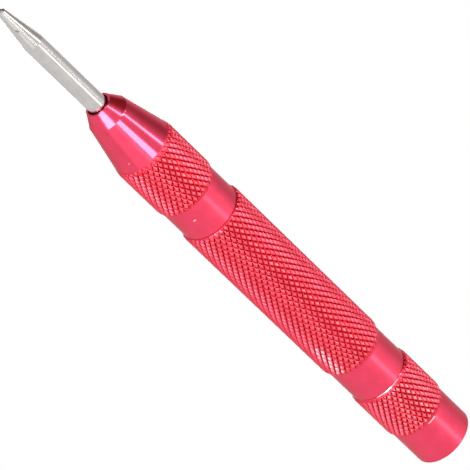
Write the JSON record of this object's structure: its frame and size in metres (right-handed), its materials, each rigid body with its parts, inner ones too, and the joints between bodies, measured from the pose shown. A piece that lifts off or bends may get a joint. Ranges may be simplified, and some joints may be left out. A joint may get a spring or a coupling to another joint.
{
  "type": "center punch",
  "caption": "Automatic center punch: knurled screw-together sleeve body, stepped conical nose, sprung steel point and a screw cap that sets the blow.",
  "frame": {"origin": "centre of the flat rear face of the cap, on the tool's axis", "axes": "+Z along the tool's axis from the cap to the tip; the trip pin leans in the XZ plane"},
  "size_m": [0.0126, 0.0126, 0.13],
  "materials": {
    "anodised_sleeve": "red anodised, satin bands and polished cones",
    "point_steel": "ground hardened steel",
    "inner_steel": "turned steel",
    "spring_steel": "drawn spring wire"
  },
  "bodies": {
    "cap": {"adjusting_cap": "anodised_sleeve"},
    "seat": {"spring_seat": "inner_steel", "drive_spring": "spring_steel"},
    "body": {"barrel": "anodised_sleeve", "nose": "anodised_sleeve", "trip_bush": "inner_steel", "return_spring": "spring_steel"},
    "point": {"punch_point": "point_steel"},
    "pin": {"trip_pin": "inner_steel"},
    "hammer": {"hammer": "inner_steel"}
  },
  "joints": [
    {"name": "cap_turn", "type": "hinge", "parent": "cap", "child": "seat", "pos_m": [0, 0, 0], "axis": [0, 0, 1], "range_deg": [0, 1440]},
    {"name": "cap_travel", "type": "slide", "parent": "seat", "child": "body", "axis": [0, 0, 1], "range_m": [0, 0.004], "deforming": ["drive_spring"]},
    {"name": "point_slide", "type": "slide", "parent": "body", "child": "point", "axis": [0, 0, -1], "range_m": [0, 0.007], "stiffness_N_per_m": 6000, "deforming": ["return_spring"]},
    {"name": "pin_tilt", "type": "hinge", "parent": "point", "child": "pin", "pos_m": [0, 0, 0.08398], "axis": [0, 1, 0], "range_deg": [-2.2, 0]},
    {"name": "hammer_slide", "type": "slide", "parent": "body", "child": "hammer", "axis": [0, 0, -1], "range_m": [0, 0.007], "deforming": ["drive_spring"]}
  ],
  "couplings": [
    {"joint": "cap_turn", "follows": "cap_travel", "rad_per_m": 6283.2},
    {"joint": "pin_tilt", "follows": "point_slide", "rad_per_m": -5.4853},
    {"joint": "hammer_slide", "follows": "point_slide", "ratio": 1}
  ]
}
